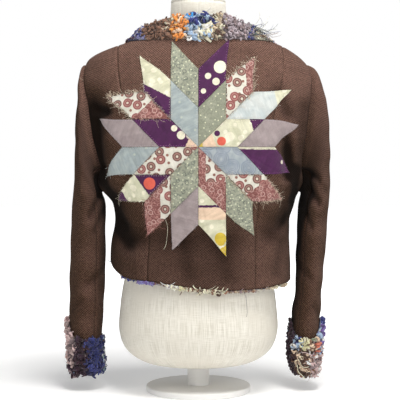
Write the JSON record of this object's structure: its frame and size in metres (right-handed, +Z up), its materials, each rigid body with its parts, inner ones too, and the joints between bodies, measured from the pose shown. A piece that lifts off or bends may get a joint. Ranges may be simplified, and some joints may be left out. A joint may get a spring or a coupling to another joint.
{
  "type": "bolero jacket on dress form",
  "caption": "Cropped long-sleeved jacket with a pieced star on its back and rag-trimmed collar, cuffs and hem, worn by a linen dress form on a low base.",
  "frame": {"origin": "centre of the base's underside, on the floor", "axes": "+Z up; the jacket's back faces -Y and its front +Y; its left sleeve is on the -X side"},
  "size_m": [0.5301, 0.27, 0.8],
  "materials": {
    "brown_wool": "matte woven",
    "rag_trim": "matte, shaggy, many colours",
    "patch_sage": "matte cotton print",
    "patch_blue": "matte cotton print",
    "patch_lilac": "matte cotton print",
    "patch_plum": "matte cotton print",
    "patch_cream": "matte cotton print",
    "patch_maroon": "matte cotton print",
    "linen": "matte slubbed linen",
    "stand_paint": "satin paint"
  },
  "bodies": {
    "root": {"back_centre": "brown_wool", "back_side_left": "brown_wool", "back_side_right": "brown_wool", "front_left": "brown_wool", "front_right": "brown_wool", "sleeve_left_top": "brown_wool", "sleeve_left_under": "brown_wool", "sleeve_right_top": "brown_wool", "sleeve_right_under": "brown_wool", "cuff_left": "rag_trim", "cuff_right": "rag_trim", "collar_trim": "rag_trim", "front_trim_left": "rag_trim", "front_trim_right": "rag_trim", "hem_trim": "rag_trim", "star_inner_1": "patch_sage", "star_inner_2": "patch_cream", "star_inner_3": "patch_blue", "star_inner_4": "patch_maroon", "star_inner_5": "patch_sage", "star_inner_6": "patch_cream", "star_inner_7": "patch_plum", "star_inner_8": "patch_blue", "star_outer_01": "patch_sage", "star_outer_02": "patch_plum", "star_outer_03": "patch_cream", "star_outer_04": "patch_blue", "star_outer_05": "patch_lilac", "star_outer_06": "patch_plum", "star_outer_07": "patch_cream", "star_outer_08": "patch_sage", "star_outer_09": "patch_cream", "star_outer_10": "patch_lilac", "star_outer_11": "patch_maroon", "star_outer_12": "patch_cream", "star_outer_13": "patch_blue", "star_outer_14": "patch_lilac", "star_outer_15": "patch_cream", "star_outer_16": "patch_plum", "dress_form": "linen", "neck_cap": "linen", "base": "stand_paint", "stem": "stand_paint"}
  },
  "joints": []
}
